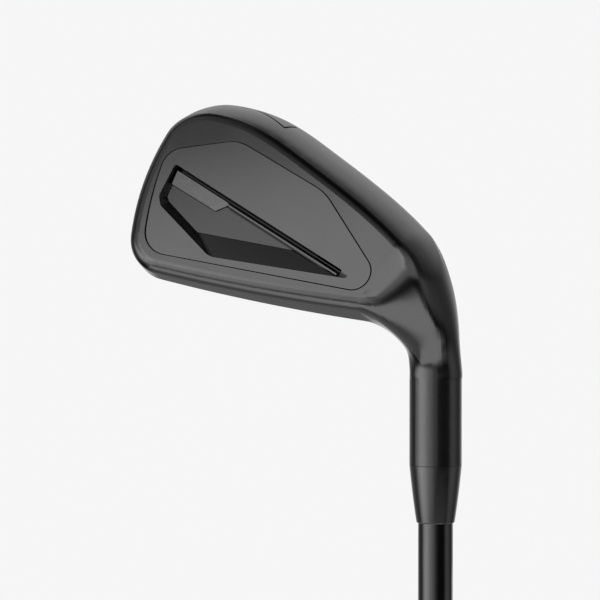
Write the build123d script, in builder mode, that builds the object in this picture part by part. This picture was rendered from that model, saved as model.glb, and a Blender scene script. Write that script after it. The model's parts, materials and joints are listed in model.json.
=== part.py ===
from build123d import *
from math import atan2, cos, radians, sin, tan
import os

os.makedirs("parts", exist_ok=True)

# ---------------------------------------------------------------------------
# Driving dimensions, in millimetres and degrees.
# Origin at the centre of the butt end, +Z up the shaft to the head, +Y to the target.
# ---------------------------------------------------------------------------
club_length = 940.0        # butt end to the point where the shaft axis meets the ground
lie = 62.5                 # shaft axis to the ground, seen from the front
loft_angle = 30.0          # face to the vertical

# Hosel
hosel_diameter = 13.5
hosel_top = 67.3           # along the axis from the ground
hosel_bore = 9.4
bore_depth = 31.0

# Blade, in the address frame: x to the toe, y to the target, z up from the ground
leading_edge = 2.75        # face plane ahead of the shaft axis, at the ground
back_set = 17.2            # back plane behind the shaft axis, at the ground
back_tilt = 19.0           # back plane to the vertical
mid_set = 7.0              # plane of the sole's lowest line, behind the shaft axis
mid_tilt = 24.5
lead_rise = 1.2            # leading edge above the sole's lowest line
trail_rise = 3.2           # trailing edge above it
sole_line = ((68.0, 6.5), (58.0, 1.9), (46.0, 0.0), (34.0, 0.7), (20.0, 2.2), (5.0, 4.5), (-10.0, 8.5))
topline_heel = (-10.0, 30.1)
topline_mid = (26.0, 42.0)
toe_top = (57.0, 50.2)
toe_side = (66.9, 30.6)
toe_top_radius = 10.0
toe_low_radius = 13.0
face_edge = 1.2            # rounding of the face's outline
back_edge = 3.2            # rounding of the back's outline
topline_slope = 24.0       # the topline falls this much backwards, to the horizontal

# Neck
neck_start = -3.0          # the blade ends here, towards the heel
neck_pivot = 46.0          # height of the line that the neck turns round
neck_core = (9.5, 29.0)    # middle of the blade's end, backwards and outwards from that line
inner_fade = 46.0          # turn at which the blade's shape is gone, inside the bend
outer_fade = 57.0          # outside the bend
side_fade = 61.0           # and on its two sides
depth_hold = 10.0          # turn up to which the blade keeps its place behind the hosel's axis
depth_fade = 62.0          # and at which it has lost it
inner_depth_fade = 44.0    # the same inside the bend
ring_count = 8
easing_turn = 8.0          # the blade's edges soften by one step for each such turn
point_gap = 2.6
hosel_lead = 3.0           # straight length at the neck's upper end

# Back plate and its pocket, in the plate's plane: x to the toe, y up the back
plate_lean = 1.6           # the plate leans this much less than the back plane
plate_pivot = 26.0         # height of the line where both planes cross
plate_thickness = 1.8
plate_gap = 0.3
ledge = 1.0                # the plate rests on it all round
plate_corners = ((20.7, 8.3), (48.7, 7.9), (64.3, 19.2), (54.9, 44.6), (-9.7, 22.8))
plate_radii = (14.0, 9.0, 6.0, 6.5, 4.6)
plate_toe = (61.0, 31.3)   # the plate's toe side bows out to here
pocket_rim = ((60.4, 21.2), (59.6, 30.4), (57.8, 32.4), (38.5, 37.4), (3.6, 24.6), (2.2, 23.2))
pocket_floor = ((59.2, 21.3), (58.4, 29.4), (57.2, 30.3), (45.8, 33.4), (18.4, 24.2), (18.2, 22.7))
rim_radii = (0.6, 2.0, 2.0, 5.0, 1.2, 0.7)
floor_radii = (0.5, 1.0, 1.5, 2.0, 0.5, 0.5)
pocket_depth = 2.2
pocket_wall = 1.4
slot_depth = 3.0
slot_heel = 5.3            # heel end of the bar's slot
slot_corner = 0.5
bar_offset = 1.15          # bar behind the pocket's lower rim
bar_width = 1.1
bar_heel = 5.8
bar_chamfer = 0.35         # on the side of the pocket
bar_corner = 0.4
bar_below = 0.45           # bar's top under the back plane
rail_offset = 0.5
rail_width = 0.3
rail_below = 1.3
inlay_gap = 0.4            # between the bar and the badge
badge_corners = ((59.1, 22.4), (58.5, 26.1), (44.5, 26.4), (41.9, 23.0))
badge_below = 0.7
badge_slope = 1.1          # bevel at the badge's heel end

# Face plate and score lines, in the face plane: x to the toe, y up the face
face_thickness = 2.4
face_border = 2.6
face_heel = 0.0
score_count = 11
score_pitch = 3.2
score_width = 0.8
score_depth = 0.35
score_span = (7.0, 56.0)
score_first = 5.0
score_margin = 1.2         # from the face plate's outline

# Inner pieces of the head
weight_diameter = 7.0
weight_set = 10.5          # weight axis behind the shaft axis
toe_weight_span = (41.0, 56.0)
toe_weight_height = 7.2
heel_weight_span = (5.0, 15.0)
heel_weight_height = 10.3
core_size = (28.0, 17.0)
core_centre = (34.0, 28.5)
core_thickness = 2.2
core_corner = 4.0
plug_length = 4.0

# Number on the sole, in the address frame
digit_points = ((42.5, -4.6), (42.9, -10.4), (53.5, -6.6))
digit_width = 0.5
digit_depth = 0.45

# Shaft
tip_diameter = 9.0
step_first_diameter = 9.4
butt_diameter = 15.0
shaft_wall = 0.75
tip_wall = 1.2
step_count = 12
step_pitch = 27.0
step_start = 300.0         # first step above the butt end
step_length = 2.5
tip_parallel = 50.0        # length of the parallel tip
tip_weight_length = 8.0

# Ferrule
ferrule_length = 14.9
ferrule_tip_diameter = 9.8
ferrule_swell = 0.12
ferrule_tip_edge = 0.25    # chamfer beside the shaft
ferrule_top_edge = 0.12    # chamfer beside the hosel

# Grip
grip_length = 267.0
grip_butt_diameter = 26.8
grip_mid_diameter = 21.6
grip_mid = 110.0
grip_mouth_diameter = 18.2
cap_thickness = 4.0
cap_edge = 1.5
vent_diameter = 2.6
tape_thickness = 0.25


# ---------------------------------------------------------------------------
# Frames
# ---------------------------------------------------------------------------
ground = Plane(
    origin=(0, 0, club_length),
    x_dir=(-sin(radians(lie)), 0, cos(radians(lie))),
    z_dir=(-cos(radians(lie)), 0, -sin(radians(lie))),
)


def spot(toe, target, up):
    """A point of the address frame."""
    return ground.from_local_coords((toe, target, up))


def way(toe, target, up):
    """A direction of the address frame."""
    return ground.x_dir * toe + ground.y_dir * target + ground.z_dir * up


def leaning_plane(tilt, target):
    """Through the ground line `target` ahead, leaning back by tilt: x to the toe, y up, z backwards."""
    angle = radians(tilt)
    return Plane(origin=spot(0, target, 0), x_dir=ground.x_dir, z_dir=way(0, -cos(angle), -sin(angle)))


def across(plane_toe):
    """Square to the blade's length: x backwards, y down, z to the toe."""
    return Plane(origin=spot(plane_toe, 0, neck_pivot), x_dir=way(0, -1, 0), z_dir=way(1, 0, 0))


face_plane = leaning_plane(loft_angle, leading_edge)
back_plane = leaning_plane(back_tilt, -back_set)
plate_tilt = leaning_plane(back_tilt - plate_lean, -back_set)
plate_line = back_plane.from_local_coords((0, plate_pivot, 0))
plate_plane = Plane(
    origin=plate_line - plate_tilt.y_dir * plate_pivot,
    x_dir=plate_tilt.x_dir,
    z_dir=plate_tilt.z_dir,
)
to_toe = Axis(spot(0, 0, 0), ground.x_dir)
to_target = Axis(spot(0, 0, 0), ground.y_dir)


# ---------------------------------------------------------------------------
# Blade
# ---------------------------------------------------------------------------
def height_behind(height, tilt, target):
    """Height, on a leaning plane, of the point behind the face at this height, down the topline's slope."""
    slope = radians(topline_slope)
    gap = (leading_edge - target) - height * (tan(radians(loft_angle)) - tan(radians(tilt)))
    depth = gap / (cos(slope) + sin(slope) * tan(radians(tilt)))
    return height - depth * sin(slope)


def blade_outline(tilt, target, rise, inset=0.0):
    """Outline of the blade on one leaning plane, or a smaller one inside it."""
    def place(x, height):
        return (x, height / cos(radians(tilt)))

    def above(point, from_toe, from_top):
        return place(point[0] - from_toe, height_behind(point[1] - from_top, tilt, target))

    heel = above(topline_heel, 0, inset)
    crown = above(toe_top, inset, inset)
    sole = [place(x, height + rise + inset) for x, height in sole_line[1:]]
    sole_toe = place(sole_line[0][0] - inset, sole_line[0][1] + rise + inset)
    with BuildSketch(leaning_plane(tilt, target)) as outline:
        with BuildLine():
            ThreePointArc(heel, above(topline_mid, 0, inset), crown)
            ThreePointArc(crown, above(toe_side, inset, 0), sole_toe)
            Spline(sole_toe, *sole)
            Line(sole[-1], heel)
        make_face()
        toe_corners = outline.vertices().sort_by(Axis.X)[-2:]
        fillet(toe_corners.sort_by(Axis.Y)[-1], radius=toe_top_radius - inset)
        fillet(outline.vertices().sort_by(Axis.X)[-1], radius=toe_low_radius - inset)
    return outline


blade_planes = (
    (loft_angle, leading_edge, lead_rise),
    (mid_tilt, -mid_set, 0.0),
    (back_tilt, -back_set, trail_rise),
)
outlines = [blade_outline(tilt, target, rise) for tilt, target, rise in blade_planes]
with BuildPart() as blade:
    loft(sections=[outline.sketch.faces()[0] for outline in outlines])
    caps = blade.faces().filter_by(GeomType.PLANE).sort_by(to_target)
    back_rim = caps[0].outer_wire().edges().sort_by(to_toe)[1:]
    face_rim = caps[-1].outer_wire().edges().sort_by(to_toe)[1:]
    fillet(back_rim, radius=back_edge)
    fillet(face_rim, radius=face_edge)


# ---------------------------------------------------------------------------
# Neck: every ring mixes the round hosel with the blade's end
# ---------------------------------------------------------------------------
def fan_plane(turn):
    """Through the neck's pivot line, turned towards the hosel: x backwards, y outwards."""
    angle = radians(turn)
    normal = way(cos(angle), 0, -sin(angle))
    return Plane(origin=spot(neck_start, 0, neck_pivot), x_dir=way(0, -1, 0), z_dir=normal)


def blade_section(x):
    return ((across(x) * Rectangle(club_length, club_length)).face() & blade.part).face()


def reach(section, plane, ray):
    """Where a ray from the neck's core leaves a section."""
    start = plane.from_local_coords(neck_core)
    end = plane.from_local_coords((neck_core[0] + 99 * cos(ray), neck_core[1] + 99 * sin(ray)))
    inside = section & Edge.make_line(start, end)
    return plane.to_local_coords(inside.vertices().sort_by_distance(start)[-1].center())


def blade_share(turn, start, end):
    """How much of the blade's shape is left, from all of it at start to none at end."""
    left = min(1.0, max(0.0, (end - turn) / (end - start)))
    return left * left * (3 - 2 * left)


def eased(points):
    """A closed ring's points, each moved half way to the middle of its two neighbours."""
    before = points[-1:] + points[:-1]
    after = points[1:] + points[:1]
    return [
        ((a[0] + 2 * b[0] + c[0]) / 4, (a[1] + 2 * b[1] + c[1]) / 4)
        for a, b, c in zip(before, points, after)
    ]


def smooth_edge(points, first, last):
    """Spline through some of a closed ring's points, tangent to its neighbours in the ring."""
    def tangent(index):
        before = points[(index - 1) % len(points)]
        after = points[(index + 1) % len(points)]
        return (after[0] - before[0], after[1] - before[1])

    stretch = [points[index % len(points)] for index in range(first, last + 1)]
    return Edge.make_spline(stretch, tangents=[tangent(first), tangent(last)])


neck_root = neck_pivot * sin(radians(lie)) - neck_start * cos(radians(lie))
neck_reach = neck_pivot * cos(radians(lie)) + neck_start * sin(radians(lie))
hosel_radius = hosel_diameter / 2
probe = 2.0

end_section = blade_section(neck_start)
end_wire = end_section.outer_wire()
travelled = 0.0
spans = []
end_points = []
for edge in end_wire.order_edges():
    count = max(2, round(edge.length / point_gap))
    spans.append(count)
    for index in range(count):
        found = end_wire.position_at(travelled + edge.length * index / count, PositionMode.LENGTH)
        end_points.append(across(neck_start).to_local_coords(found))
    travelled += edge.length
rays = [atan2(point.Y - neck_core[1], point.X - neck_core[0]) for point in end_points]
probe_section = blade_section(neck_start + probe)
probe_points = [reach(probe_section, across(neck_start + probe), ray) for ray in rays]

rings = []
for ring_index in range(1, ring_count + 1):
    turn = lie * (ring_index / ring_count) ** 1.5
    carry = radians(turn) * (1 - turn / lie)
    blade_points = []
    for near, far in zip(end_points, probe_points):
        drift = (near.X - far.X) / probe
        drop = (near.Y - far.Y) / probe
        blade_points.append((near.X + drift * near.Y * carry, near.Y + drop * near.Y * carry))
    for _ in range(round(turn / easing_turn)):
        blade_points = eased(blade_points)
    points = []
    for ray, blade_point in zip(rays, blade_points):
        hosel_point = (hosel_radius * cos(ray), neck_reach + hosel_radius * sin(ray))
        bend_fade = outer_fade if sin(ray) > 0 else inner_fade
        fade = side_fade * cos(ray) ** 2 + bend_fade * sin(ray) ** 2
        inside = max(0.0, -sin(ray)) ** 2
        depth_start = depth_hold * (1 - inside)
        depth_end = depth_fade + (inner_depth_fade - depth_fade) * inside
        shares = (blade_share(turn, depth_start, depth_end), blade_share(turn, 0, fade))
        points.append([s * b + (1 - s) * h for s, b, h in zip(shares, blade_point, hosel_point)])
    edges = []
    first = 0
    for span in spans:
        edges.append(smooth_edge(points, first, first + span))
        first += span
    rings.append(fan_plane(turn) * Face(Wire(edges)))
rings.append(rings[-1].moved(Location(-hosel_lead * fan_plane(lie).z_dir)))
with BuildPart() as neck:
    loft(sections=[end_section] + rings)


# ---------------------------------------------------------------------------
# Outlines on the back plane and on the face plane
# ---------------------------------------------------------------------------
def plate_outline(grow):
    """The back plate's outline, grown by `grow`."""
    with BuildSketch(plate_plane) as outline:
        with BuildLine():
            Polyline(*plate_corners[3:], *plate_corners[:3])
            ThreePointArc(plate_corners[2], plate_toe, plate_corners[3])
        make_face()
        for corner, radius in zip(plate_corners, plate_radii):
            fillet(outline.vertices().sort_by_distance(corner)[0], radius=radius)
        if grow != 0:
            offset(amount=grow)
    return outline


def polygon(plane, corners, radii=(), grow=0.0):
    """A flat outline with some or all of its corners rounded."""
    with BuildSketch(plane) as outline:
        with BuildLine():
            Polyline(*corners, close=True)
        make_face()
        for corner, radius in zip(corners, radii):
            fillet(outline.vertices().sort_by_distance(corner)[0], radius=radius)
        if grow != 0:
            offset(amount=grow)
    return outline


def beside_rim(near, far, heel, toe):
    """Strip between two distances from the pocket's lower rim, as four corners."""
    (toe_x, toe_y), (heel_x, heel_y) = pocket_rim[0], pocket_rim[-1]
    slope = (heel_y - toe_y) / (heel_x - toe_x)

    def rim(x, away):
        return (x, toe_y + slope * (x - toe_x) + away)

    return (rim(toe, near), rim(toe, far), rim(heel, far), rim(heel, near))


bar_far = bar_offset + bar_width
bar_toe = badge_corners[-1][0] - inlay_gap
slot_toe = pocket_floor[0][0]
strip_toe = slot_toe - bar_offset


# ---------------------------------------------------------------------------
# Head body
# ---------------------------------------------------------------------------
def face_outline(border):
    """The blade's outline on the face, less a border, cut square at the heel."""
    inner = blade_outline(*blade_planes[0], inset=border)
    with BuildSketch(face_plane) as outline:
        add(inner.sketch_local)
        with Locations((face_heel, 0)):
            Rectangle(club_length, club_length, align=(Align.MIN, Align.CENTER), mode=Mode.INTERSECT)
    return outline


def weight(span, height, name):
    with BuildPart() as piece:
        middle = spot(span[0], -weight_set, height)
        with BuildSketch(Plane(origin=middle, x_dir=ground.y_dir, z_dir=ground.x_dir)):
            Circle(weight_diameter / 2)
        extrude(amount=span[1] - span[0])
    piece.part.label = name
    return piece


toe_weight = weight(toe_weight_span, toe_weight_height, "toe_weight")
heel_weight = weight(heel_weight_span, heel_weight_height, "heel_weight")

plate = plate_outline(0)
plate_seat = plate_outline(plate_gap)
cavity_mouth = plate_outline(-ledge)
face_seat = face_outline(face_border)

with BuildPart() as cavity:
    extrude(cavity_mouth.sketch, amount=-2 * back_set)
    split(bisect_by=face_plane.offset(face_thickness), keep=Keep.TOP)


with BuildPart() as digit:
    with BuildSketch(Plane(origin=spot(0, 0, 0), x_dir=ground.x_dir, z_dir=ground.z_dir)):
        with BuildLine():
            Polyline(*digit_points)
        trace(line_width=digit_width)
    extrude(amount=trail_rise)
    add(blade.part.moved(Location(way(0, 0, digit_depth))), mode=Mode.SUBTRACT)

hosel_end = Plane(origin=(0, 0, club_length - hosel_top))
with BuildPart() as head_body:
    add(blade.part)
    split(bisect_by=across(neck_start), keep=Keep.TOP)
    add(neck.part)
    extrude(rings[-1], amount=-(hosel_top - neck_root - hosel_lead))
    add(cavity.part, mode=Mode.SUBTRACT)
    extrude(plate_seat.sketch, amount=-plate_thickness, mode=Mode.SUBTRACT)
    extrude(plate_seat.sketch, amount=plate_thickness, mode=Mode.SUBTRACT)
    extrude(face_seat.sketch, amount=face_thickness, mode=Mode.SUBTRACT)
    add(toe_weight.part, mode=Mode.SUBTRACT)
    add(heel_weight.part, mode=Mode.SUBTRACT)
    add(digit.part, mode=Mode.SUBTRACT)
    with BuildSketch(hosel_end):
        Circle(hosel_bore / 2)
    extrude(amount=bore_depth, mode=Mode.SUBTRACT)
head_body.part.label = "head_body"


# ---------------------------------------------------------------------------
# Face plate, back plate and what lies in its pocket
# ---------------------------------------------------------------------------
score_limit = face_outline(face_border + score_margin)
with BuildSketch(face_plane) as scores:
    with Locations((sum(score_span) / 2, score_first + score_pitch * (score_count - 1) / 2)):
        with GridLocations(0, score_pitch, 1, score_count):
            Rectangle(score_span[1] - score_span[0], score_width)
    add(score_limit.sketch_local, mode=Mode.INTERSECT)
with BuildPart() as face_plate:
    extrude(face_seat.sketch, amount=face_thickness)
    extrude(scores.sketch, amount=score_depth, mode=Mode.SUBTRACT)
face_plate.part.label = "face_plate"

floor_plane = plate_plane.offset(-pocket_depth)
slot_plane = plate_plane.offset(-slot_depth)
tub_plane = floor_plane.offset(-pocket_wall)
pocket_rim_outline = polygon(plate_plane, pocket_rim, rim_radii)
pocket_floor_outline = polygon(floor_plane, pocket_floor, floor_radii)
tub_rim_outline = polygon(plate_plane, pocket_rim, grow=pocket_wall)
tub_floor_outline = polygon(tub_plane, pocket_floor, grow=pocket_wall)
slot_corners = beside_rim(0, bar_far, slot_heel, slot_toe)
slot = polygon(slot_plane, slot_corners, [slot_corner] * len(slot_corners))
with BuildPart() as back_plate:
    extrude(plate.sketch, amount=-plate_thickness)
    loft(sections=[tub_rim_outline.sketch.face(), tub_floor_outline.sketch.face()])
    loft(
        sections=[pocket_rim_outline.sketch.face(), pocket_floor_outline.sketch.face()],
        mode=Mode.SUBTRACT,
    )
    extrude(slot.sketch, amount=slot_depth, mode=Mode.SUBTRACT)
back_plate.part.label = "back_plate"

out_of_plate = Axis(plate_plane.origin, plate_plane.z_dir)
up_plate = Axis(plate_plane.origin, plate_plane.y_dir)
bar_outline = polygon(slot_plane, beside_rim(bar_offset, bar_far, bar_heel, bar_toe))
with BuildPart() as back_bar:
    extrude(bar_outline.sketch, amount=slot_depth - bar_below)
    bar_end = back_bar.faces().sort_by(to_toe)[0]
    fillet(bar_end.edges().filter_by(out_of_plate), radius=bar_corner)
    pocket_side = back_bar.faces().sort_by(out_of_plate)[-1].edges().sort_by(up_plate)[-1]
    chamfer(pocket_side, length=bar_chamfer)
back_bar.part.label = "back_bar"

strip_outline = polygon(slot_plane, beside_rim(rail_offset, rail_offset + rail_width, bar_heel, strip_toe))
with BuildPart() as bar_strip:
    extrude(strip_outline.sketch, amount=slot_depth - rail_below)
bar_strip.part.label = "bar_strip"

badge_outline = polygon(floor_plane, badge_corners)
with BuildPart() as badge:
    extrude(badge_outline.sketch, amount=pocket_depth - badge_below)
    badge_top = badge.faces().sort_by(out_of_plate)[-1]
    chamfer(badge_top.edges().sort_by(to_toe)[0], length=badge_slope)
badge.part.label = "badge"


# ---------------------------------------------------------------------------
# Inside the head and the hosel
# ---------------------------------------------------------------------------
with BuildPart() as polymer_core:
    with BuildSketch(face_plane.offset(face_thickness)):
        with Locations(core_centre):
            RectangleRounded(core_size[0], core_size[1], core_corner)
    extrude(amount=core_thickness)
polymer_core.part.label = "polymer_core"

with BuildPart() as hosel_plug:
    with BuildSketch(hosel_end.offset(bore_depth - plug_length)):
        Circle(hosel_bore / 2)
    extrude(amount=plug_length)
hosel_plug.part.label = "hosel_plug"

with BuildPart() as hosel_epoxy:
    with BuildSketch(hosel_end):
        Circle(hosel_bore / 2)
        Circle(tip_diameter / 2, mode=Mode.SUBTRACT)
    extrude(amount=bore_depth - plug_length)
hosel_epoxy.part.label = "hosel_epoxy"


# ---------------------------------------------------------------------------
# Shaft and ferrule
# ---------------------------------------------------------------------------
hosel_z = club_length - hosel_top
tip_z = hosel_z + bore_depth - plug_length
step_drop = (butt_diameter - step_first_diameter) / step_count
steps_end = step_start + step_count * step_pitch
outer = [(butt_diameter / 2, cap_thickness)]
for step in range(step_count):
    height = step_start + step * step_pitch
    outer.append(((butt_diameter - step * step_drop) / 2, height))
    outer.append(((butt_diameter - (step + 1) * step_drop) / 2, height + step_length))
tip_start = tip_z - tip_parallel
outer += [(step_first_diameter / 2, steps_end), (tip_diameter / 2, tip_start), (tip_diameter / 2, tip_z)]
tip_bore = tip_diameter / 2 - tip_wall
inner = [
    (tip_bore, tip_z),
    (tip_bore, tip_start),
    (step_first_diameter / 2 - tip_wall, steps_end),
    (butt_diameter / 2 - shaft_wall, step_start),
    (butt_diameter / 2 - shaft_wall, cap_thickness),
]
with BuildPart() as shaft:
    with BuildSketch(Plane.XZ):
        with BuildLine():
            Polyline(*outer, *inner, close=True)
        make_face()
    revolve(axis=Axis.Z)
shaft.part.label = "shaft"

with BuildPart() as tip_weight:
    with BuildSketch(Plane(origin=(0, 0, tip_z))):
        Circle(tip_bore)
    extrude(amount=-tip_weight_length)
tip_weight.part.label = "tip_weight"

ferrule_z = hosel_z - ferrule_length
ferrule_middle = (hosel_diameter + ferrule_tip_diameter) / 4 + ferrule_swell
with BuildPart() as ferrule:
    with BuildSketch(Plane.XZ):
        with BuildLine():
            ThreePointArc(
                (ferrule_tip_diameter / 2, ferrule_z),
                (ferrule_middle, ferrule_z + ferrule_length / 2),
                (hosel_diameter / 2, hosel_z),
            )
            Polyline(
                (hosel_diameter / 2, hosel_z),
                (tip_diameter / 2, hosel_z),
                (tip_diameter / 2, ferrule_z),
                (ferrule_tip_diameter / 2, ferrule_z),
            )
        make_face()
    revolve(axis=Axis.Z)
    rims = ferrule.edges().group_by(Axis.Z)
    chamfer(rims[0].sort_by(SortBy.LENGTH)[-1], length=ferrule_tip_edge)
    chamfer(rims[-1].sort_by(SortBy.LENGTH)[-1], length=ferrule_top_edge)
ferrule.part.label = "ferrule"


# ---------------------------------------------------------------------------
# Grip
# ---------------------------------------------------------------------------
tape_radius = butt_diameter / 2 + tape_thickness
with BuildPart() as grip_tape:
    with BuildSketch(Plane(origin=(0, 0, cap_thickness))):
        Circle(tape_radius)
        Circle(butt_diameter / 2, mode=Mode.SUBTRACT)
    extrude(amount=grip_length - cap_thickness)
grip_tape.part.label = "grip_tape"

with BuildPart() as grip:
    with BuildSketch(Plane.XZ):
        with BuildLine():
            Spline(
                (grip_butt_diameter / 2, cap_thickness),
                (grip_mid_diameter / 2, grip_mid),
                (grip_mouth_diameter / 2, grip_length),
            )
            Polyline(
                (grip_mouth_diameter / 2, grip_length),
                (tape_radius, grip_length),
                (tape_radius, cap_thickness),
                (grip_butt_diameter / 2, cap_thickness),
            )
        make_face()
    revolve(axis=Axis.Z)
grip.part.label = "grip"

with BuildPart() as grip_cap:
    with BuildSketch(Plane.XY):
        Circle(grip_butt_diameter / 2)
        Circle(vent_diameter / 2, mode=Mode.SUBTRACT)
    extrude(amount=cap_thickness)
    fillet(grip_cap.edges().group_by(Axis.Z)[0].sort_by(SortBy.LENGTH)[-1], radius=cap_edge)
grip_cap.part.label = "grip_cap"


pieces = (
    head_body, face_plate, back_plate, back_bar, bar_strip, badge, toe_weight, heel_weight, polymer_core,
    hosel_plug, hosel_epoxy, ferrule, shaft, tip_weight, grip_tape, grip, grip_cap,
)
for piece in pieces:
    export_step(piece.part, f"parts/{piece.part.label}.step")
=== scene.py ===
import json
from math import cos, pi, radians, sin

import bpy
from mathutils import Matrix, Vector


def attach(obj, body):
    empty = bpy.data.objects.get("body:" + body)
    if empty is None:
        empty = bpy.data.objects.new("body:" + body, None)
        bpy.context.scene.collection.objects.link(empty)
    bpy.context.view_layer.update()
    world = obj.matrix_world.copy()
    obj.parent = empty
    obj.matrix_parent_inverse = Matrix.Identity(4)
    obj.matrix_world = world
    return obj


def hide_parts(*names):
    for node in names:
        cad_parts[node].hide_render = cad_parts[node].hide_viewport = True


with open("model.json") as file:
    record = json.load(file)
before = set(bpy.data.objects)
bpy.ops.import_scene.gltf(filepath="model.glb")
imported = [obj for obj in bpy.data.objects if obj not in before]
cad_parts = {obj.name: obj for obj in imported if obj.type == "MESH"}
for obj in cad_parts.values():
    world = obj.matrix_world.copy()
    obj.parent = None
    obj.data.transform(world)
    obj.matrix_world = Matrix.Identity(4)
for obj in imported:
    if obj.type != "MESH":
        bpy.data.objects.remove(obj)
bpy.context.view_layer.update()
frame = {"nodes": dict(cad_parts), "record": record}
nodes = frame["nodes"]

# An iron golf club that stands on its butt: +Z runs along the shaft to the head, the head's back
# faces -Y and its heel faces +X. Lengths are metres, and shades are linear greys.
MM = 0.001

# The club
club_length = 940 * MM
hosel_diameter = 13.5 * MM
head_middle = Vector((-25, -8, 915)) * MM
lie = radians(62.5)
to_toe = Vector((-sin(lie), 0, cos(lie)))
to_target = Vector((0, 1, 0))
upwards = Vector((-cos(lie), 0, -sin(lie)))

# The number on the sole, in the address frame
digit_points = ((42.5, -4.6), (42.9, -10.4), (53.5, -6.6))
digit_width = 0.5 * MM
digit_bleed = 0.1 * MM      # how far the paint runs over the number's edge
digit_rise = 6 * MM         # the sole lies lower than this

# The back plate's plane: its tilt, and one point of it in the address frame
plate_tilt = radians(17.4)
plate_target = -25.665 * MM
plate_up = 24.583 * MM
pocket_depth = 2.1 * MM     # the pocket's floor lies deeper than this below the plane
slot_depth = 2.5 * MM       # and the floor of the bar's slot deeper than this

# The grip: height and radius at its butt, middle and mouth
grip_profile = ((4 * MM, 13.4 * MM), (110 * MM, 10.8 * MM), (267 * MM, 9.1 * MM))
tape_radius = 7.75 * MM
pattern_start = 16 * MM
pattern_end = 252 * MM
pattern_fade = 3 * MM
groove_count = 14           # grooves side by side round the grip, each way
groove_pitch = 5.2 * MM     # height between two grooves that run the same way
groove_depth = 0.35 * MM
groove_share = 0.13         # half a groove's width, as a share of the space between two
grip_rows = 420
grip_sides = 112
grip_crease = radians(50)   # edges sharper than this stay sharp

# Surfaces. A gloss is the roughness at its smoothest and at its roughest.
steel_level = 0.13
strip_level = 0.035         # the strip beside the bar is darker
pocket_level = 0.088
steel_mottle = 0.04
steel_gloss = (0.17, 0.23)
face_gloss = (0.28, 0.36)
steel_grain = 0.25 * MM
steel_relief = 0.0006 * MM
cloud_size = 14 * MM
cloud_gloss = 0.015
# matt black, for the number's real paint and for the painted shade on the floor of the bar's slot
paint_and_shade_level = 0.004
paint_and_shade_roughness = 0.6
plastic_ior = 2.2
along_blade = (0.15, 3, 0.15)
along_shaft = (4, 4, 0.05)
noise_low = 0.3             # nearly all of a noise lies between these two values
noise_high = 0.7
# painted shade darkens seams where less than this share of the space within the reach is open
seam_start = 0.8
seam_reach = 0.6 * MM
seam_gain = 3.0
seam_shade_level = 0.008

# The camera, from the hosel's size and place in the picture
picture_width = 600
axis_px = 435.75            # the hosel's axis, across the picture
ground_px = 203.0           # where that axis meets the ground line, down the picture
hosel_px = 52.6
camera_azimuth = radians(26.5)
camera_elevation = radians(1.5)
camera_distance = 0.95
sensor_width = 36.0
nearest_seen = 0.01
farthest_seen = 50

# Light. Azimuths are from the camera's side, positive to the picture's right.
background_level = 0.9216
ramp_top = 2.0              # the highest level that a ramp can hold
# degrees of azimuth, and the level there near the horizon
walls = (
    (-172, 1.0), (-156, 0.45), (-135, 0.22), (-112, 0.10), (-99, 0.25), (-85, 1.1), (-72, 1.6), (-55, 1.4),
    (-35, 0.8), (-18, 0.5), (-6, 0.25), (6, 0.08), (18, 0.02), (47, 0.01), (58, 0.06), (68, 0.24), (80, 0.32),
    (92, 0.26), (110, 0.12), (124, 0.15), (140, 0.4), (156, 0.8), (172, 1.0),
)
# degrees of elevation, and the share of that level
walls_share = (
    (-90, 0.1), (-40, 0.15), (-28, 0.28), (-18, 0.8), (-10, 1.0), (8, 1.0), (14, 0.3), (36, 0.2), (62, 0.2),
    (66, 0.12), (90, 0.12),
)
# the ceiling behind the object by elevation, and how much of it each azimuth sees
ceiling = ((6, 0.0), (18, 0.5), (32, 0.74), (52, 0.82), (59, 0.6), (64, 0.02), (90, 0.01))
ceiling_share = ((0, 0.0), (100, 0.0), (125, 0.7), (145, 1.0), (180, 1.0))
# panels above and below the dark stretch that the hosel mirrors
panel = (
    (-90, 0.78), (-34, 0.74), (-24, 0.2), (-14, 0.03), (-6, 0.0), (3, 0.0), (8, 0.55), (35, 0.6), (48, 0.3),
    (64, 0.0), (90, 0.0),
)
panel_share = ((-180, 0.0), (-28, 0.0), (-12, 1.0), (52, 1.0), (76, 0.0), (180, 0.0))
# a low dark card on the right, which hides the walls
card = ((-90, 1.0), (-32, 1.0), (-20, 0.0), (90, 0.0))
card_share = ((-180, 0.0), (52, 0.0), (64, 1.0), (112, 1.0), (130, 0.0), (180, 0.0))
floor_size = 2.2
floor_level = 0.8
floor_roughness = 0.9
floor_glow = 0.75           # share of its seen level that the floor adds itself
# how much of that glow the metal sees, by metres from the club towards the camera
glow_share = ((-1.5, 0.1), (-0.15, 0.07), (0.05, 1.2), (1.5, 1.2))
# a softbox near the head
box_distance = 0.32
box_azimuth = radians(-33)
box_elevation = radians(25)
box_width = 0.34
box_height = 0.13
box_level = 1.05
box_roll = radians(20)


def unit(azimuth, elevation):
    """A direction seen from the object, by azimuth from the camera's side."""
    turn = camera_azimuth + azimuth
    return Vector((sin(turn) * cos(elevation), -cos(turn) * cos(elevation), sin(elevation)))


def pose(place, right, up, back):
    """The matrix that puts an object here, with its own axes along these directions."""
    return Matrix.Translation(place) @ Matrix((right, up, back)).transposed().to_4x4()


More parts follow.
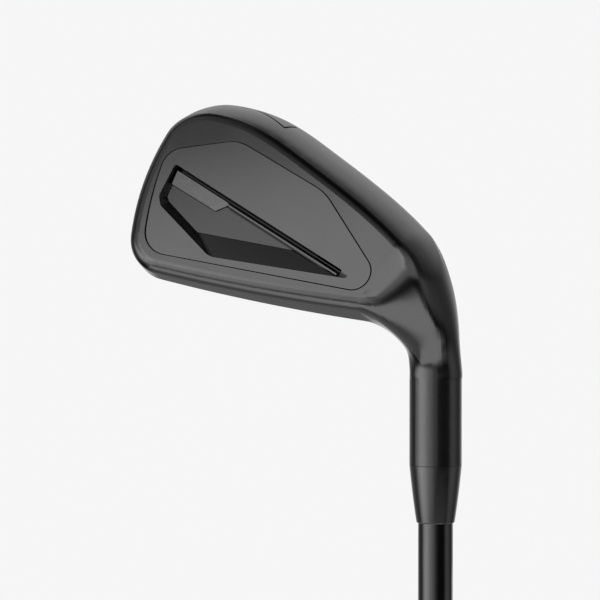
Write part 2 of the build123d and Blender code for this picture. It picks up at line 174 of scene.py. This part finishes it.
def add_camera():
    """The camera, aimed so that the hosel falls where the picture has it."""
    scale = hosel_diameter / hosel_px
    right = Vector((cos(camera_azimuth), sin(camera_azimuth), 0))
    towards = unit(0, camera_elevation)
    middle = picture_width / 2
    on_axis = Vector((0, 0, club_length - (middle - ground_px) * scale))
    target = on_axis - (axis_px - middle) * scale * right
    data = bpy.data.cameras.new("camera")
    data.sensor_width = sensor_width
    data.lens = camera_distance / (scale * picture_width) * sensor_width
    data.clip_start = nearest_seen
    data.clip_end = farthest_seen
    camera = bpy.data.objects.new("camera", data)
    camera.matrix_world = pose(target + towards * camera_distance, right, towards.cross(right), towards)
    bpy.context.scene.collection.objects.link(camera)
    bpy.context.scene.camera = camera


# ---------------------------------------------------------------------------
# Node helpers
# ---------------------------------------------------------------------------
def grey(level):
    """A colour without hue."""
    return (level, level, level)


def new_node(tree, kind, **settings):
    """A new node with these settings."""
    node = tree.nodes.new(kind)
    for name, value in settings.items():
        setattr(node, name, value)
    return node


def calc(tree, operation, first, second=None):
    """One Math node's output; each input is a socket or a number."""
    node = new_node(tree, "ShaderNodeMath", operation=operation)
    for socket, value in zip(node.inputs, (first, second)):
        if isinstance(value, (int, float)):
            socket.default_value = value
        elif value is not None:
            tree.links.new(value, socket)
    return node.outputs[0]


def along(tree, vector, direction):
    """How far a vector reaches along a fixed direction."""
    node = new_node(tree, "ShaderNodeVectorMath", operation="DOT_PRODUCT")
    node.inputs[1].default_value = direction
    tree.links.new(vector, node.inputs[0])
    return node.outputs["Value"]


def minus(tree, vector, place):
    """A vector from a fixed place."""
    node = new_node(tree, "ShaderNodeVectorMath", operation="SUBTRACT")
    node.inputs[1].default_value = place
    tree.links.new(vector, node.inputs[0])
    return node.outputs["Vector"]


def limited(tree, value):
    """A value kept between 0 and 1."""
    return calc(tree, "MINIMUM", calc(tree, "MAXIMUM", value, 0.0), 1.0)


def ramp(tree, value, stops):
    """A level by a value, through (value, level) stops."""
    low, high = stops[0][0], stops[-1][0]
    node = new_node(tree, "ShaderNodeValToRGB")
    node.color_ramp.interpolation = "LINEAR"
    elements = node.color_ramp.elements
    elements.remove(elements[-1])
    for index, (place, level) in enumerate(stops):
        position = (place - low) / (high - low)
        element = elements[0] if index == 0 else elements.new(position)
        element.position = position
        element.color = (*grey(level / ramp_top), 1)
    share = calc(tree, "DIVIDE", calc(tree, "SUBTRACT", value, low), high - low)
    tree.links.new(share, node.inputs["Fac"])
    return calc(tree, "MULTIPLY", node.outputs["Color"], ramp_top)


# ---------------------------------------------------------------------------
# Light
# ---------------------------------------------------------------------------
def add_world():
    """The studio that the metal mirrors, and the pale background that the camera sees."""
    world = bpy.data.worlds.new("studio")
    bpy.context.scene.world = world
    world.use_nodes = True
    tree = world.node_tree
    place = new_node(tree, "ShaderNodeTexCoord")
    turn = new_node(tree, "ShaderNodeMapping", vector_type="POINT")
    turn.inputs["Rotation"].default_value = (0, 0, -camera_azimuth)
    tree.links.new(place.outputs["Generated"], turn.inputs["Vector"])
    parts = new_node(tree, "ShaderNodeSeparateXYZ")
    tree.links.new(turn.outputs["Vector"], parts.inputs[0])
    # in this turned frame the camera is towards -Y and the picture's right is +X
    radian = 180 / pi
    forward = calc(tree, "MULTIPLY", parts.outputs["Y"], -1.0)
    azimuth = calc(tree, "MULTIPLY", calc(tree, "ARCTAN2", parts.outputs["X"], forward), radian)
    elevation = calc(tree, "MULTIPLY", calc(tree, "ARCSINE", parts.outputs["Z"]), radian)
    level = calc(tree, "MULTIPLY", ramp(tree, azimuth, walls), ramp(tree, elevation, walls_share))
    hidden = calc(tree, "MULTIPLY", ramp(tree, azimuth, card_share), ramp(tree, elevation, card))
    level = calc(tree, "MULTIPLY", level, calc(tree, "SUBTRACT", 1.0, hidden))
    overhead = ramp(tree, calc(tree, "ABSOLUTE", azimuth), ceiling_share)
    overhead = calc(tree, "MULTIPLY", overhead, ramp(tree, elevation, ceiling))
    panels = calc(tree, "MULTIPLY", ramp(tree, azimuth, panel_share), ramp(tree, elevation, panel))
    level = calc(tree, "MAXIMUM", calc(tree, "MAXIMUM", level, overhead), panels)
    path = new_node(tree, "ShaderNodeLightPath")
    shown = new_node(tree, "ShaderNodeMix", data_type="RGBA")
    shown.inputs["B"].default_value = (*grey(background_level), 1)
    tree.links.new(path.outputs["Is Camera Ray"], shown.inputs["Factor"])
    tree.links.new(level, shown.inputs["A"])
    tree.links.new(shown.outputs["Result"], tree.nodes["Background"].inputs["Color"])


def add_softbox():
    """A rectangular lamp that faces the head."""
    data = bpy.data.lights.new("softbox", "AREA")
    data.shape = "RECTANGLE"
    data.size = box_width
    data.size_y = box_height
    data.energy = box_level * pi * box_width * box_height
    lamp = bpy.data.objects.new("softbox", data)
    outwards = unit(box_azimuth, box_elevation)
    side = Vector((0, 0, 1)).cross(outwards).normalized()
    place = head_middle + outwards * box_distance
    lamp.matrix_world = pose(place, side, outwards.cross(side), outwards) @ Matrix.Rotation(box_roll, 4, "Z")
    bpy.context.scene.collection.objects.link(lamp)


def add_floor():
    """A floor as pale as the background, which still takes the club's shadow."""
    bpy.ops.mesh.primitive_plane_add(size=floor_size, location=(0, 0, 0))
    floor = bpy.context.active_object
    floor.name = "floor"
    material = new_material("floor")
    tree, shader = opened(material)
    shader.inputs["Base Color"].default_value = (*grey(floor_level), 1)
    shader.inputs["Roughness"].default_value = floor_roughness
    shader.inputs["Emission Color"].default_value = (*grey(background_level), 1)
    path = new_node(tree, "ShaderNodeLightPath")
    camera = path.outputs["Is Camera Ray"]
    seen = calc(tree, "MAXIMUM", camera, path.outputs["Is Glossy Ray"])
    seen = calc(tree, "MAXIMUM", seen, path.outputs["Is Transmission Ray"])
    place = new_node(tree, "ShaderNodeTexCoord")
    share = ramp(tree, along(tree, place.outputs["Object"], unit(0, 0)), glow_share)
    # the camera sees all of the glow, wherever it looks
    share = calc(tree, "ADD", calc(tree, "MULTIPLY", share, calc(tree, "SUBTRACT", 1.0, camera)), camera)
    glow = calc(tree, "MULTIPLY", calc(tree, "MULTIPLY", seen, share), floor_glow)
    tree.links.new(glow, shader.inputs["Emission Strength"])
    floor.data.materials.append(material)


# ---------------------------------------------------------------------------
# Materials
# ---------------------------------------------------------------------------
def new_material(name):
    """A material with nodes."""
    material = bpy.data.materials.new(name)
    material.use_nodes = True
    return material


def opened(material):
    """A material's node tree and its shader."""
    return material.node_tree, material.node_tree.nodes["Principled BSDF"]


def grain(tree, size, detail=3.0, stretch=(1, 1, 1)):
    """Noise with grains of about this size, fixed to the piece."""
    place = new_node(tree, "ShaderNodeTexCoord")
    scale = new_node(tree, "ShaderNodeMapping")
    scale.inputs["Scale"].default_value = stretch
    tree.links.new(place.outputs["Object"], scale.inputs["Vector"])
    noise = new_node(tree, "ShaderNodeTexNoise")
    noise.inputs["Scale"].default_value = 1 / size
    noise.inputs["Detail"].default_value = detail
    tree.links.new(scale.outputs["Vector"], noise.inputs["Vector"])
    return noise.outputs["Fac"]


def spread(tree, value, low, high):
    """A noise value, stretched to run from low to high."""
    node = new_node(tree, "ShaderNodeMapRange")
    node.inputs["From Min"].default_value = noise_low
    node.inputs["From Max"].default_value = noise_high
    node.inputs["To Min"].default_value = low
    node.inputs["To Max"].default_value = high
    tree.links.new(value, node.inputs["Value"])
    return node.outputs["Result"]


def shades(tree, value, dark, light):
    """A colour between two others, by a noise value."""
    node = new_node(tree, "ShaderNodeMix", data_type="RGBA")
    tree.links.new(spread(tree, value, 0, 1), node.inputs["Factor"])
    node.inputs["A"].default_value = (*dark, 1)
    node.inputs["B"].default_value = (*light, 1)
    return node.outputs["Result"]


def bump(tree, shader, value, relief):
    """Tiny hills and hollows on a surface, this high, by a noise value."""
    node = new_node(tree, "ShaderNodeBump")
    node.inputs["Distance"].default_value = relief
    node.inputs["Strength"].default_value = 1.0
    tree.links.new(value, node.inputs["Height"])
    tree.links.new(node.outputs["Normal"], shader.inputs["Normal"])


def grained(name, dark, light, metal, gloss, size, relief, stretch=(1, 1, 1)):
    """A surface whose colour, roughness and height all vary with one grain."""
    material = new_material(name)
    tree, shader = opened(material)
    noise = grain(tree, size, stretch=stretch)
    tree.links.new(shades(tree, noise, dark, light), shader.inputs["Base Color"])
    tree.links.new(spread(tree, noise, *gloss), shader.inputs["Roughness"])
    shader.inputs["Metallic"].default_value = metal
    bump(tree, shader, noise, relief)
    return material


def blasted_steel(name, level, gloss):
    """Forged steel, bead-blasted and coated black: an even fine grain and faint clouds from handling."""
    dark, light = grey(level * (1 - steel_mottle)), grey(level * (1 + steel_mottle))
    material = grained(name, dark, light, 1.0, gloss, steel_grain, steel_relief)
    tree, shader = opened(material)
    clouds = spread(tree, grain(tree, cloud_size, detail=2.0), -cloud_gloss, cloud_gloss)
    fine = shader.inputs["Roughness"].links[0].from_socket
    tree.links.new(calc(tree, "ADD", fine, clouds), shader.inputs["Roughness"])
    return material


def address_point(tree):
    """Where a point lies in the address frame: to the toe, to the target, up."""
    place = new_node(tree, "ShaderNodeTexCoord")
    from_ground = minus(tree, place.outputs["Object"], (0, 0, club_length))
    return [along(tree, from_ground, direction) for direction in (to_toe, to_target, upwards)]


def beside_stroke(tree, flat, start, end):
    """Distance from a point of the sole to one stroke of the number."""
    stroke = end - start
    offset = minus(tree, flat, start)
    share = limited(tree, along(tree, offset, stroke / stroke.length_squared))
    nearest = new_node(tree, "ShaderNodeVectorMath", operation="SCALE")
    nearest.inputs[0].default_value = stroke
    tree.links.new(share, nearest.inputs["Scale"])
    rest = new_node(tree, "ShaderNodeVectorMath", operation="DISTANCE")
    tree.links.new(offset, rest.inputs[0])
    tree.links.new(nearest.outputs["Vector"], rest.inputs[1])
    return rest.outputs["Value"]


def tint(tree, shader, where, level):
    """Another grey, where the mask is 1."""
    colour = new_node(tree, "ShaderNodeMix", data_type="RGBA")
    tree.links.new(shader.inputs["Base Color"].links[0].from_socket, colour.inputs["A"])
    colour.inputs["B"].default_value = (*grey(level), 1)
    tree.links.new(where, colour.inputs["Factor"])
    tree.links.new(colour.outputs["Result"], shader.inputs["Base Color"])


def black_paint_and_shade(tree, shader, where):
    """Matt black over a surface where the mask is 1: real paint in the engraved number, painted shade on the
    floor of the bar's slot.
    """
    for name, value in (("Metallic", 0.0), ("Roughness", paint_and_shade_roughness)):
        mix = new_node(tree, "ShaderNodeMix")
        before = shader.inputs[name]
        if before.links:
            tree.links.new(before.links[0].from_socket, mix.inputs["A"])
        else:
            mix.inputs["A"].default_value = before.default_value
        mix.inputs["B"].default_value = value
        tree.links.new(where, mix.inputs["Factor"])
        tree.links.new(mix.outputs["Result"], shader.inputs[name])
    tint(tree, shader, where, paint_and_shade_level)


def painted_seam_shade(tree, shader):
    """Painted shade: darker where another surface is closer than the reach."""
    near = new_node(tree, "ShaderNodeAmbientOcclusion")
    near.inputs["Distance"].default_value = seam_reach
    closed = calc(tree, "MULTIPLY", calc(tree, "SUBTRACT", seam_start, near.outputs["AO"]), seam_gain)
    tint(tree, shader, limited(tree, closed), seam_shade_level)


def head_steel():
    """The head's steel, with black paint in the engraved number on the sole and painted shade in its seams.
    """
    material = blasted_steel("head_steel", steel_level, steel_gloss)
    tree, shader = opened(material)
    toe, target, up = address_point(tree)
    flat = new_node(tree, "ShaderNodeCombineXYZ")
    tree.links.new(toe, flat.inputs["X"])
    tree.links.new(target, flat.inputs["Y"])
    corners = [Vector((x, y, 0)) * MM for x, y in digit_points]
    strokes = [beside_stroke(tree, flat.outputs["Vector"], *pair) for pair in zip(corners, corners[1:])]
    inside = calc(tree, "LESS_THAN", calc(tree, "MINIMUM", *strokes), digit_width / 2 + digit_bleed)
    low = calc(tree, "LESS_THAN", up, digit_rise)
    black_paint_and_shade(tree, shader, calc(tree, "MULTIPLY", inside, low))
    # painted shade in the seams, darker where another surface is near
    painted_seam_shade(tree, shader)
    return material


def plate_steel():
    """The back plate's steel, darker in the pocket, with painted shade in its seams and matt black painted
    shade on the floor of the bar's slot.
    """
    material = blasted_steel("slot_steel", steel_level, steel_gloss)
    tree, shader = opened(material)
    toe, target, up = address_point(tree)
    towards_face = calc(tree, "MULTIPLY", calc(tree, "SUBTRACT", target, plate_target), cos(plate_tilt))
    towards_top = calc(tree, "MULTIPLY", calc(tree, "SUBTRACT", up, plate_up), sin(plate_tilt))
    depth = calc(tree, "ADD", towards_face, towards_top)
    tint(tree, shader, calc(tree, "GREATER_THAN", depth, pocket_depth), pocket_level)
    # painted shade in the seams, darker where another surface is near
    painted_seam_shade(tree, shader)
    # painted shade: matt black on the floor of the bar's slot
    black_paint_and_shade(tree, shader, calc(tree, "GREATER_THAN", depth, slot_depth))
    return material


def polished_plastic():
    """The ferrule's glossy black plastic."""
    material = grained(
        "ferrule_plastic", grey(0.008), grey(0.014), 0.0, (0.10, 0.15), 1.5 * MM, 0.0004 * MM,
    )
    tree, shader = opened(material)
    shader.inputs["IOR"].default_value = plastic_ior
    return material


# by material slot: dark and light shade, metal or not, gloss, grain's size, its relief and its stretch
finishes = {
    "black_steel": blasted_steel("black_steel", steel_level, steel_gloss),
    "face_steel": blasted_steel("face_steel", steel_level, face_gloss),
    "badge_metal": grained(
        "badge_metal", grey(0.145), grey(0.185), 1.0, (0.2, 0.3), 0.3 * MM, 0.001 * MM, along_blade,
    ),
    "ferrule_plastic": polished_plastic(),
    "shaft_steel": grained(
        "shaft_steel", grey(0.115), grey(0.135), 1.0, (0.11, 0.16), 0.5 * MM, 0.0004 * MM, along_shaft,
    ),
    "grip_rubber": grained(
        "grip_rubber", grey(0.018), grey(0.028), 0.0, (0.55, 0.75), 0.4 * MM, 0.02 * MM,
    ),
    "tungsten": grained(
        "tungsten", grey(0.20), grey(0.26), 1.0, (0.4, 0.55), 0.2 * MM, 0.01 * MM,
    ),
    "polymer": grained(
        "polymer", (0.09, 0.11, 0.19), (0.11, 0.13, 0.22), 0.0, (0.5, 0.7), 1.0 * MM, 0.01 * MM,
    ),
    "plug_plastic": grained(
        "plug_plastic", grey(0.13), grey(0.17), 0.0, (0.4, 0.55), 0.6 * MM, 0.01 * MM,
    ),
    "epoxy": grained(
        "epoxy", (0.42, 0.37, 0.27), (0.48, 0.43, 0.33), 0.0, (0.2, 0.35), 2.0 * MM, 0.01 * MM,
    ),
    "pin_metal": grained(
        "pin_metal", (0.66, 0.51, 0.27), (0.74, 0.59, 0.33), 1.0, (0.25, 0.35), 0.4 * MM, 0.003 * MM,
    ),
    "tape": grained(
        "tape", (0.70, 0.67, 0.60), (0.78, 0.75, 0.68), 0.0, (0.75, 0.9), 0.5 * MM, 0.02 * MM,
    ),
}
# nodes whose finish differs from that of their slot
own_finishes = {
    "head_body": head_steel(),
    "back_plate": plate_steel(),
    "bar_strip": blasted_steel("strip_steel", strip_level, steel_gloss),
}


# ---------------------------------------------------------------------------
# Grip: the CAD sleeve with its moulded pattern
# ---------------------------------------------------------------------------
def grip_radius(z):
    """The sleeve's outer radius, on a parabola through the butt, the middle and the mouth."""
    (z0, r0), (z1, r1), (z2, r2) = grip_profile
    return (
        r0 * (z - z1) * (z - z2) / ((z0 - z1) * (z0 - z2))
        + r1 * (z - z0) * (z - z2) / ((z1 - z0) * (z1 - z2))
        + r2 * (z - z0) * (z - z1) / ((z2 - z0) * (z2 - z1))
    )


def groove(turns):
    """1 in the middle of a groove and 0 beside it, once every turn."""
    beside = abs((turns + 0.5) % 1 - 0.5) / groove_share
    return max(0.0, 1 - beside) ** 0.5


def pattern_depth(angle, z):
    """How deep the crossing grooves lie here; they fade out towards both ends of the grip."""
    fade_in = max(0.0, (z - pattern_start) / pattern_fade)
    fade_out = max(0.0, (pattern_end - z) / pattern_fade)
    around_grip = groove_count * angle / (2 * pi)
    up_grip = z / groove_pitch
    crossing = max(groove(around_grip + up_grip), groove(around_grip - up_grip))
    return groove_depth * min(1.0, fade_in, fade_out) * crossing


def grip_sleeve():
    """The rubber sleeve: rings up its outside, closed by one ring at each end of its bore."""
    start, end = grip_profile[0][0], grip_profile[-1][0]
    angles = [2 * pi * i / grip_sides for i in range(grip_sides)]
    rings = []
    for row in range(grip_rows + 1):
        z = start + (end - start) * row / grip_rows
        rings.append([(grip_radius(z) - pattern_depth(angle, z), z) for angle in angles])
    rings.append([(tape_radius, end)] * grip_sides)
    rings.append([(tape_radius, start)] * grip_sides)
    points = []
    for ring in rings:
        for angle, (radius, z) in zip(angles, ring):
            points.append((radius * cos(angle), radius * sin(angle), z))
    faces = []
    for row in range(len(rings)):
        this, above = row * grip_sides, (row + 1) % len(rings) * grip_sides
        for i in range(grip_sides):
            after = (i + 1) % grip_sides
            faces.append((this + i, this + after, above + after, above + i))
    mesh = bpy.data.meshes.new("grip_sleeve")
    mesh.from_pydata(points, [], faces)
    mesh.update()
    mesh.shade_smooth()
    mesh.set_sharp_from_angle(angle=grip_crease)
    piece = bpy.data.objects.new("grip_sleeve", mesh)
    bpy.context.scene.collection.objects.link(piece)
    mesh.materials.append(finishes["grip_rubber"])
    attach(piece, "root")
    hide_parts("grip")


add_camera()
add_world()
add_softbox()
add_floor()
for sub in frame["record"]["subparts"]:
    node = nodes[sub["node"]]
    node.data.materials.clear()
    node.data.materials.append(own_finishes.get(sub["node"], finishes[sub["material_slot"]]))
grip_sleeve()
bpy.context.scene.view_settings.view_transform = "Standard"
